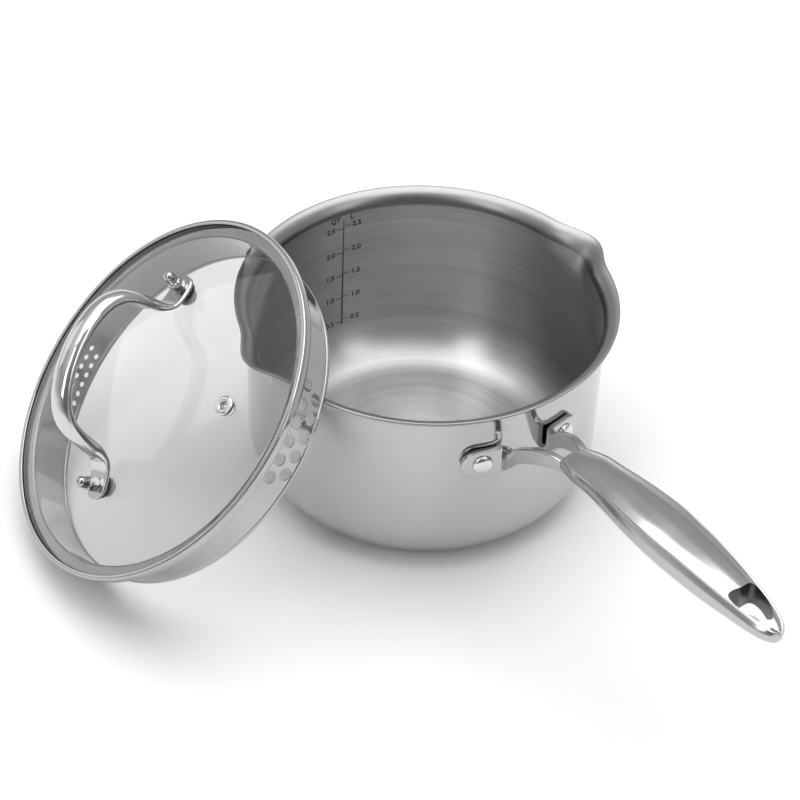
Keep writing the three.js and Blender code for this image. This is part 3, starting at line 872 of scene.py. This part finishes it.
class SAUCEPAN_OT_handle(bpy.types.Operator):
    """Cast the handle: crowned grip with its hanging hole, two fork arms and two lugs"""
    bl_idname = "saucepan.handle"
    bl_label = "Handle"

    def mark_hole(self, grip):
        """Gives the walls of the hanging hole the second material, a near-black painted shade inside the
        hole.
        """
        middle = Vector((0.277, 0.0, 0.0))
        tip_starts, least_facing = 0.26, 0.75
        for face in grip.polygons:
            inward = middle - face.center
            inward.z = 0.0
            facing = face.normal.dot(inward.normalized())
            face.material_index = int(face.center.x > tip_starts and facing > least_facing)

    def execute(self, context):
        sizes = context.scene.handle_sizes
        pan = context.scene.pan_sizes
        finish = context.scene.finishes
        start = GRIP_STATIONS[0][0]
        end = GRIP_STATIONS[-1][0]
        opening = [(0.0, 0.0), (0.35, 0.45), (1.0, 0.78), (2.0, 0.94), (3.4, 1.0)]
        rows = [grip_section(start + offset, sizes.crown, shrink) for offset, shrink in opening]
        tip_length = 7.0
        rows += [grip_section(x, sizes.crown) for x in np.linspace(start + 4.4, end - tip_length, 140)]
        rows += [grip_section(end - tip_length * math.cos(t), sizes.crown)
                 for t in np.linspace(0.15, math.pi / 2, 18)]
        rows.append(grip_section(end, sizes.crown, 0.0))
        grip = skin("handle_grip", rows)
        outline = hole_outline(sizes.hole_half_width)
        plug_rows = [np.stack([outline[:, 0], outline[:, 1], np.full(len(outline), z)], axis=1) * MM
                     for z in (100.0, 140.0)]
        plug = skin("plug", plug_rows)
        grip = broken_edges(drilled(grip, [plug]), 0.0007, 55)
        self.mark_hole(grip)
        steel = buffed(finish)
        # Near-black steel on the hole's walls is painted shade inside the hanging hole.
        hole_painted_shade = workshop.steel("steel in the hanging hole", finish.hole, 0.3, 0.4)
        place("handle_grip", grip, [steel, hole_painted_shade], "pan", ["handle"], smooth_angle=50)
        for name, side in (("front", -1), ("rear", 1)):
            mesh = skin("handle_fork_" + name, fork_half(sizes, pan.wall_radius, side))
            place("handle_fork_" + name, mesh, [steel], "pan", ["handle"],
                  smooth_angle=60)
        return {"FINISHED"}


class SAUCEPAN_OT_rivets(bpy.types.Operator):
    """Set the two domed rivets through the lugs and the wall"""
    bl_idname = "saucepan.rivets"
    bl_label = "Rivets"

    def execute(self, context):
        sizes = context.scene.handle_sizes
        pan = context.scene.pan_sizes
        finish = context.scene.finishes
        gap = 0.0004
        outer_face = pan.wall_radius + gap + sizes.lug_thickness
        inner_face = pan.wall_radius - pan.wall - gap
        head, head_edge, rise = sizes.rivet_head, 0.0004, 0.0024
        inner_head, inner_edge, inner_rise = 0.006, 0.0003, 0.0014
        shank = 0.0027
        dome = [(head * math.cos(t), outer_face + head_edge + rise * math.sin(t))
                for t in np.linspace(0, math.pi / 2, 12)]
        button = [(inner_head * math.cos(t), inner_face - inner_edge - inner_rise * math.sin(t))
                  for t in np.linspace(math.pi / 2, 0, 9)]
        stem = [(inner_head, inner_face), (shank, inner_face), (shank, outer_face), (head, outer_face)]
        profile = button + stem + dome
        for name, side in (("front", -1), ("rear", 1)):
            mesh = turned("rivet_" + name, profile, 48)
            matrix = (Matrix.Rotation(side * sizes.rivet_angle, 4, "Z")
                      @ Matrix.Translation((0, 0, sizes.lug_height_up))
                      @ Matrix.Rotation(math.pi / 2, 4, "Y"))
            place("rivet_" + name, mesh, [mirror(finish)], "pan", ["handle_rivet_" + name],
                  matrix)
        return {"FINISHED"}


# ------------------------------------------------------------------ lid

BOLT_HOLE = 0.0028
VENT_HOLE = 0.0042


def lid_matrix(sizes):
    """Where the leaning lid's own frame lies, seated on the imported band."""
    slope = Matrix.Rotation(sizes.heading, 4, "Z") @ Matrix.Rotation(sizes.tilt, 4, "Y")
    axes = np.array(slope.to_3x3())
    points = np.array([vertex.co for vertex in BAND_NODE.data.vertices], float) @ axes
    low, high = points.min(0), points.max(0)
    centre = (low + high) / 2
    centre[2] = low[2] + sizes.skirt_drop
    where = Matrix.Translation(Vector(axes @ centre))
    return where @ slope @ Matrix.Rotation(sizes.turn, 4, "Z")


def glass_height(sizes, radius):
    return 0.0006 + sizes.glass_rise * (1 - (radius / sizes.glass_radius) ** 2)


def upright(radius, low, high, segments=32):
    return skin("rod", [ring_of(radius, low, segments), ring_of(radius, high, segments)])


def tab_matrix(sizes, side):
    """Stands a piece made along Z square on one of the strap's tabs."""
    half_turn = Matrix.Rotation(0 if side > 0 else math.pi, 4, "Z")
    height = Vector((0, 0, sizes.tab_height))
    return (half_turn @ Matrix.Translation(Vector((sizes.bolt_distance, 0, 0)) + height)
            @ Matrix.Rotation(sizes.tab_tilt, 4, "Y") @ Matrix.Translation(-height))


def glass_matrix(sizes, x, y):
    """Stands a piece made along Z square on the glass at (x, y)."""
    radius = math.hypot(x, y)
    slope = math.atan(2 * sizes.glass_rise * radius / sizes.glass_radius ** 2)
    return (Matrix.Rotation(math.atan2(y, x), 4, "Z")
            @ Matrix.Translation((radius, 0, glass_height(sizes, radius))) @ Matrix.Rotation(slope, 4, "Y"))


class SAUCEPAN_OT_lid_band(bpy.types.Operator):
    """Roll the lid's steel flange and skirt, and punch its straining holes"""
    bl_idname = "saucepan.lid_band"
    bl_label = "Lid band"

    LARGE = (90, 6.26, ((6, -14.1), (5, -21.9)))
    SMALL = (-90, 3.55, ((9, -17.2), (8, -22.8)))

    def mark_seam(self, band, rim):
        """Gives the groove that grips the glass the second material, a near-black painted shade where the
        rolled bead overhangs the glass.
        """
        for face in band.polygons:
            x, y, z = face.center
            radius = math.hypot(x, y)
            inward = face.normal.x * x + face.normal.y * y < 0
            in_groove = rim - 0.0031 < radius < rim - 0.0009 and -0.0030 < z < 0.0012
            face.material_index = int(inward and in_groove)

    def punches(self, radius, skirt, direction, step, rows):
        for count, height in rows:
            for i in range(count):
                turn = math.radians(direction + (i - (count - 1) / 2) * step)
                rod = upright(radius, skirt - 0.006, skirt + 0.006, 24)
                yield moved(rod, Matrix.Rotation(turn, 4, "Z") @ Matrix.Translation((0, 0, height * MM))
                            @ Matrix.Rotation(math.pi / 2, 4, "Y"))

    def execute(self, context):
        sizes = context.scene.lid_sizes
        finish = context.scene.finishes
        rim = sizes.rim
        skirt = sizes.skirt
        drop = -sizes.skirt_drop
        section = [
            (skirt - 0.0013, drop), (skirt + 0.0004, drop), (skirt + 0.0004, drop + 0.0019),
            (skirt, drop + 0.0022), (skirt, -0.0041), (rim - 0.0006, -0.0041), (rim, -0.0030),
            (rim, 0.0010), (rim - 0.0010, 0.0016), (rim - 0.0026, 0.0015), (rim - 0.0029, 0.0009),
            (rim - 0.0013, 0.0009), (rim - 0.0010, -0.0031), (skirt - 0.0008, -0.0032),
            (skirt - 0.0008, drop + 0.0022), (skirt - 0.0013, drop + 0.0019),
        ]
        radii = [r * MM for r in (0.6, 0.7, 0.5, 0.3, 1.2, 1.0, 1.0, 1.2,
                                  1.2, 0.5, 0.3, 0.4, 0.6, 1.4, 0.3, 0.5)]
        path = eased(section, radii, steps=4, closed=True)
        path = finer(np.concatenate([path, path[:1]]), 0.003)[:-1]
        band = turned("lid_band_rolled", path, 288, joined=True)
        cutters = list(self.punches(sizes.large_hole, skirt, *self.LARGE))
        cutters += list(self.punches(sizes.small_hole, skirt, *self.SMALL))
        band = drilled(band, cutters)
        steel = workshop.steel("polished lid steel", finish.band, 0.035, 0.08, hairlines=0.2)
        self.mark_seam(band, rim)
        # The groove's inward faces get near-black painted shade, made with the matte silicone recipe.
        seam = workshop.silicone("seam between band and glass", finish.seam, 0.5, 0.2)
        place("lid_band_rolled", band, [steel, seam], "lid", ["lid_band"],
              lid_matrix(sizes), smooth_angle=50)
        return {"FINISHED"}


class SAUCEPAN_OT_lid_glass(bpy.types.Operator):
    """Press the domed glass disc with its bolt and vent holes"""
    bl_idname = "saucepan.lid_glass"
    bl_label = "Lid glass"

    def execute(self, context):
        sizes = context.scene.lid_sizes
        finish = context.scene.finishes
        edge = sizes.glass_radius
        radii = np.linspace(0, edge - 0.001, 34)
        under = [(r, glass_height(sizes, r) - sizes.glass_thickness) for r in radii]
        top = [(r, glass_height(sizes, r)) for r in radii[::-1]]
        side = [(edge - 0.0003, 0.0003 - sizes.glass_thickness), (edge, -sizes.glass_thickness * 0.5),
                (edge - 0.0003, 0.0002)]
        dome = turned("lid_glass_dome", under + side + top, 192)
        holes = [moved(upright(BOLT_HOLE, -0.03, 0.03), tab_matrix(sizes, side)) for side in (-1, 1)]
        holes.append(moved(upright(VENT_HOLE, -0.02, 0.02), glass_matrix(sizes, 0, sizes.vent_distance)))
        place("lid_glass_dome", drilled(dome, holes), [workshop.glass("lid glass", finish.glass)], "lid",
              ["lid_glass"], lid_matrix(sizes), smooth_angle=50)
        return {"FINISHED"}


class SAUCEPAN_OT_lid_strap(bpy.types.Operator):
    """Bend the crowned steel strap that lifts the lid"""
    bl_idname = "saucepan.lid_strap"
    bl_label = "Lid strap"

    # The middle line from a tab to the top: distance from the lid's axis, height. Millimetres.
    CLIMB = [(44.2, 17.4), (42.4, 22.0), (41.0, 30.0), (39.4, 40.0), (36.6, 48.0), (31.0, 54.2),
             (23.0, 58.8), (12.0, 62.0)]

    def middle_line(self, sizes):
        slope = math.tan(sizes.tab_tilt)
        end = sizes.bolt_distance + sizes.strap_width / 2
        tab = [(x, sizes.tab_height - (x - sizes.bolt_distance) * slope) for x in (end, 0.0480)]
        half = tab + [(x * MM, z * MM) for x, z in self.CLIMB]
        other = [(-x, z) for x, z in reversed(half)]
        corners = half + [(0.0, sizes.strap_top)] + other
        return finer(eased(corners, 0.0035, steps=6), 0.0011)

    def execute(self, context):
        sizes = context.scene.lid_sizes
        finish = context.scene.finishes
        line = self.middle_line(sizes)
        round_start = sizes.bolt_distance
        slope = math.tan(sizes.tab_tilt)
        rounding = round_start + sizes.strap_width / 2 * np.sin(np.linspace(math.pi / 2, 0, 16))
        tip = np.array([(x, sizes.tab_height - (x - round_start) * slope) for x in rounding])
        middle = line[np.abs(line[:, 0]) < round_start - 0.0003]
        line = np.concatenate([tip, middle, (tip * (-1, 1))[::-1]])
        along = np.gradient(line, axis=0)
        along /= np.linalg.norm(along, axis=1)[:, None]
        rows = []
        thick = sizes.strap_thickness / 2
        press_starts, press_eases = 0.0155, 0.012
        for (x, z), (dx, dz) in zip(line, along):
            past = max(0.0, abs(x) - round_start)
            rise = smooth_step(min(1.0, max(0.0, (z - press_starts) / press_eases)))
            half = sizes.strap_width / 2 - sizes.channel_pinch * rise
            half = math.sqrt(max(half ** 2 - past ** 2, 1e-14))
            depth = sizes.channel_depth * rise
            lip = min(0.0009, half * 0.9)
            section = [(-half, -thick - depth), (-half + 2 * thick, -thick - depth),
                       (-half * 0.5, -thick - depth * 0.3), (0.0, -thick + depth * 0.1),
                       (half * 0.5, -thick - depth * 0.3), (half - 2 * thick, -thick - depth),
                       (half, -thick - depth), (half, thick - depth * 0.45),
                       (half * 0.6, thick + depth * 0.35), (0.0, thick + depth * 0.6),
                       (-half * 0.6, thick + depth * 0.35), (-half, thick - depth * 0.45)]
            radii = [lip * 0.5, lip * 0.5, 0.002, 0.002, 0.002, lip * 0.5, lip * 0.5,
                     lip * 1.5, 0.003, 0.003, 0.003, lip * 1.5]
            path = eased(section, radii, steps=3, closed=True)
            # The path runs from +X to -X, so its left side is the outer face.
            outward = np.array([dz, 0.0, -dx])
            rows.append(np.array([x, 0.0, z]) + path[:, :1] * np.array([0.0, 1.0, 0.0])
                        + path[:, 1:] * outward)
        strap = skin("lid_strap", rows)
        place("lid_strap", strap, [polished(finish)], "lid", ["lid_bail"],
              lid_matrix(sizes), smooth_angle=60)
        return {"FINISHED"}


class SAUCEPAN_OT_lid_fittings(bpy.types.Operator):
    """Fit the bolts, washers and cap nuts that hold the strap to the glass"""
    bl_idname = "saucepan.lid_fittings"
    bl_label = "Lid fittings"

    def cap_nut(self, name, seat):
        """A hexagon with chamfered corners under a turned dome."""
        flats = 0.0037
        dome = 0.0030
        hexagon = 0.0056
        top = 0.0120
        segments = 72
        turn = np.linspace(0, 2 * math.pi, segments, endpoint=False)
        sixth = math.pi / 3
        hex_radius = flats / np.cos((turn + sixth / 2) % sixth - sixth / 2)
        corner = flats / math.cos(sixth / 2)
        rows = []

        def ring(radius, height):
            level = np.full(segments, seat + height)
            rows.append(np.stack([radius * np.cos(turn), radius * np.sin(turn), level], axis=1))

        ring(np.full(segments, 0.0), 0.0)
        ring(np.minimum(hex_radius, corner - 0.0006), 0.0)
        for height in (0.0003, 0.0007):
            ring(np.minimum(hex_radius, corner - 0.0006 + height), height)
        for height in (hexagon - 0.0009, hexagon - 0.0005, hexagon - 0.0001):
            ring(np.minimum(hex_radius, corner + (hexagon - 0.0009 - height) * 1.3), height)
        ring(np.minimum(hex_radius, flats * 0.96), hexagon)
        ring(np.full(segments, dome + 0.0001), hexagon + 0.0001)
        ring(np.full(segments, dome), hexagon + 0.0006)
        for t in np.linspace(0, math.pi / 2, 12):
            ring(np.full(segments, dome * math.cos(t)), top - dome + dome * math.sin(t))
        return skin(name, rows)

    def washer(self, name, outer, low, high, softness=0.0006):
        section = [(BOLT_HOLE, low), (outer, low), (outer, high), (BOLT_HOLE, high)]
        path = eased(section, [0.0002, softness, softness, 0.0002], steps=4, closed=True)
        return turned(name, path, 64, joined=True)

    def execute(self, context):
        sizes = context.scene.lid_sizes
        finish = context.scene.finishes
        lid = lid_matrix(sizes)
        thick = sizes.strap_thickness / 2
        gap = 0.0001
        head, shank, head_seat, head_height = 0.0037, 0.002, 0.0033, 0.0018
        for name, side in (("front", 1), ("rear", -1)):
            matrix = lid @ tab_matrix(sizes, side)
            seat = sizes.tab_height + thick + gap
            place("cap_nut_" + name, self.cap_nut("cap_nut_" + name, seat), [nut_steel(finish)], "lid",
                  ["lid_cap_nut_" + name], matrix, smooth_angle=25)
            section = [(0.0, head_seat - head_height), (0.0026, head_seat - head_height),
                       (head, head_seat - head_height / 2), (head, head_seat), (shank, head_seat),
                       (shank, seat + 0.005), (0.0, seat + 0.005)]
            bolt = turned("lid_screw_" + name, eased(section, 0.0003, steps=3), 40)
            place("lid_screw_" + name, bolt, [mirror(finish)], "lid", ["lid_bolt_" + name],
                  matrix, smooth_angle=40)
            black = self.washer("washer_" + name, 0.0065, 0.0094, sizes.tab_height - thick - gap, 0.0008)
            place("washer_" + name, black, [silicone(finish)], "lid", ["lid_washer_" + name],
                  matrix)
            milky = workshop.silicone("milky silicone", finish.clear_rubber, 0.35, 0.1)
            under = self.washer("under_washer_" + name, 0.005, 0.0036, 0.0052)
            place("under_washer_" + name, under, [milky], "lid", ["lid_under_washer_" + name],
                  matrix)
        return {"FINISHED"}


class SAUCEPAN_OT_vent(bpy.types.Operator):
    """Crimp the steam vent's eyelet and its grommet into the glass"""
    bl_idname = "saucepan.vent"
    bl_label = "Steam vent"

    def execute(self, context):
        sizes = context.scene.lid_sizes
        finish = context.scene.finishes
        matrix = lid_matrix(sizes) @ glass_matrix(sizes, 0, sizes.vent_distance)
        under = -sizes.glass_thickness - 0.002
        section = [(0.0021, under), (0.00345, under), (0.00345, 0.0016), (0.0053, 0.0016), (0.0053, 0.0020),
                   (0.0044, 0.0027), (0.0027, 0.0027), (0.0021, 0.0021)]
        radii = [r * MM for r in (0.3, 0.3, 0.3, 0.3, 0.4, 0.7, 0.6, 0.5)]
        eyelet = turned("vent_ring", eased(section, radii, steps=5, closed=True), 64, joined=True)
        place("vent_ring", eyelet, [mirror(finish)], "lid", ["vent_eyelet"], matrix)
        seal = [(0.0038, 0.0003), (0.005, 0.0003), (0.005, 0.00125), (0.0038, 0.00125)]
        grommet = turned("vent_seal", eased(seal, 0.0003, closed=True), 64, joined=True)
        place("vent_seal", grommet, [silicone(finish)], "lid", ["vent_grommet"], matrix)
        return {"FINISHED"}


# ------------------------------------------------------------------ stage

class SAUCEPAN_OT_stage(bpy.types.Operator):
    """Set the pale table, the soft lights, the surround and the camera"""
    bl_idname = "saucepan.stage"
    bl_label = "Stage"

    def table(self, finish):
        size = 4.0
        top = [(-size, -size, 0), (size, -size, 0), (size, size, 0), (-size, size, 0)]
        mesh = bpy.data.meshes.new("table")
        mesh.from_pydata(top, [], [(0, 1, 2, 3)])
        material, tree, shader = workshop.start("pale table")
        speckle = workshop.add(tree, mould_group, Speckle_size=60.0, Dust=0.05)
        tone = span(tree, speckle.outputs["Dust mask"], 0.0, 1.0, 1.0, 0.9)
        workshop.tinted(tree, shader, tone, finish.floor)
        feed_all(tree, shader, {"Roughness": 0.65, "Specular IOR Level": 0.25})
        mesh.materials.append(material)
        table = linked("table", mesh)
        table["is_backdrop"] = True

    def surround(self, strength):
        world = bpy.data.worlds.new("studio")
        bpy.context.scene.world = world
        world.use_nodes = True
        tree = world.node_tree
        sky = tree.nodes["Background"]
        split = tree.nodes.new("ShaderNodeSeparateXYZ")
        outward = tree.nodes.new("ShaderNodeTexCoord").outputs["Generated"]
        tree.links.new(outward, split.inputs[0])
        ramp = tree.nodes.new("ShaderNodeValToRGB")
        stops = [(0.0, 0.75), (0.06, 0.72), (0.25, 0.42), (0.55, 0.55), (0.8, 0.95), (1.0, 1.0)]
        for i, (position, level) in enumerate(stops):
            if i < 2:
                stop = ramp.color_ramp.elements[i]
                stop.position = position
            else:
                stop = ramp.color_ramp.elements.new(position)
            stop.color = (level, level, level * 1.01, 1.0)
        tree.links.new(split.outputs[2], ramp.inputs[0])
        facing = tree.nodes.new("ShaderNodeVectorMath")
        facing.operation = "DOT_PRODUCT"
        facing.inputs[1].default_value = (0.80, -0.30, 0.52)
        tree.links.new(outward, facing.inputs[0])
        shade = span(tree, facing.outputs["Value"], 0.4, 0.9, 1.0, 0.4)
        mix = tree.nodes.new("ShaderNodeVectorMath")
        mix.operation = "SCALE"
        tree.links.new(ramp.outputs[0], mix.inputs[0])
        tree.links.new(shade, mix.inputs["Scale"])
        tree.links.new(mix.outputs[0], sky.inputs["Color"])
        sky.inputs["Strength"].default_value = strength

    def towards(self, azimuth, elevation):
        level = math.cos(elevation)
        return Vector((level * math.cos(azimuth), level * math.sin(azimuth), math.sin(elevation)))

    def lamp(self, name, azimuth, elevation, distance, width, height, power, target=(0.03, -0.03, 0.07)):
        data = bpy.data.lights.new(name, "AREA")
        data.shape = "RECTANGLE"
        data.size = width
        data.size_y = height
        data.energy = power
        light = linked(name, data)
        direction = self.towards(math.radians(azimuth), math.radians(elevation))
        light.location = Vector(target) + direction * distance
        light.rotation_euler = direction.to_track_quat("Z", "Y").to_euler()
        light.visible_camera = False

    def camera(self, stage):
        direction = self.towards(stage.azimuth, stage.elevation)
        level = Vector((-math.sin(stage.azimuth), math.cos(stage.azimuth), 0.0))
        upward = direction.cross(level)
        right = level * math.cos(stage.roll) + upward * math.sin(stage.roll)
        upward = direction.cross(right)
        data = bpy.data.cameras.new("camera")
        data.lens = stage.lens
        data.sensor_width = 36.0
        camera = linked("camera", data)
        matrix = Matrix((right, upward, direction)).transposed().to_4x4()
        matrix.translation = Vector(stage.target) + direction * stage.distance
        camera.matrix_world = matrix
        bpy.context.scene.camera = camera

    def execute(self, context):
        stage = context.scene.stage_settings
        self.table(context.scene.finishes)
        self.surround(stage.sky)
        self.lamp("overhead", 140, 80, 2.2, 2.4, 2.4, stage.key)
        self.lamp("front left", 288, 40, 1.7, 0.45, 1.3, stage.side * 1.5)
        self.lamp("left", 215, 20, 1.7, 0.7, 0.8, stage.side * 0.4)
        self.lamp("right", 25, 35, 1.7, 0.35, 1.2, stage.side)
        self.camera(stage)
        context.scene.view_settings.view_transform = "Standard"
        return {"FINISHED"}


class SAUCEPAN_PT_sidebar(bpy.types.Panel):
    """Sizes, colours and building steps of the saucepan"""
    bl_idname = "SAUCEPAN_PT_sidebar"
    bl_label = "Saucepan"
    bl_space_type = "VIEW_3D"
    bl_region_type = "UI"
    bl_category = "Saucepan"

    def draw(self, context):
        for name, group in GROUPS.items():
            box = self.layout.box()
            box.label(text=name.replace("_", " ").capitalize())
            for prop in group.__annotations__:
                box.prop(getattr(context.scene, name), prop)
        for step in STEPS:
            self.layout.operator(step.bl_idname)


STEPS = (
    SAUCEPAN_OT_pan,
    SAUCEPAN_OT_volume_scale,
    SAUCEPAN_OT_handle,
    SAUCEPAN_OT_rivets,
    SAUCEPAN_OT_lid_band,
    SAUCEPAN_OT_lid_glass,
    SAUCEPAN_OT_lid_strap,
    SAUCEPAN_OT_lid_fittings,
    SAUCEPAN_OT_vent,
    SAUCEPAN_OT_stage,
)


def register():
    for group in GROUPS.values():
        bpy.utils.register_class(group)
    for step in STEPS:
        bpy.utils.register_class(step)
    bpy.utils.register_class(SAUCEPAN_PT_sidebar)
    for name, group in GROUPS.items():
        setattr(bpy.types.Scene, name, bpy.props.PointerProperty(type=group))


def unregister():
    for name in GROUPS:
        delattr(bpy.types.Scene, name)
    bpy.utils.unregister_class(SAUCEPAN_PT_sidebar)
    for step in reversed(STEPS):
        bpy.utils.unregister_class(step)
    for group in reversed(list(GROUPS.values())):
        bpy.utils.unregister_class(group)


def main():
    register()
    for step in STEPS:
        family, action = step.bl_idname.split(".")
        getattr(getattr(bpy.ops, family), action)()
    as_numbers = [[list(corner) for corner in box] for box in (CAD_BOUNDS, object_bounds())]


if __name__ == "__main__":
    main()
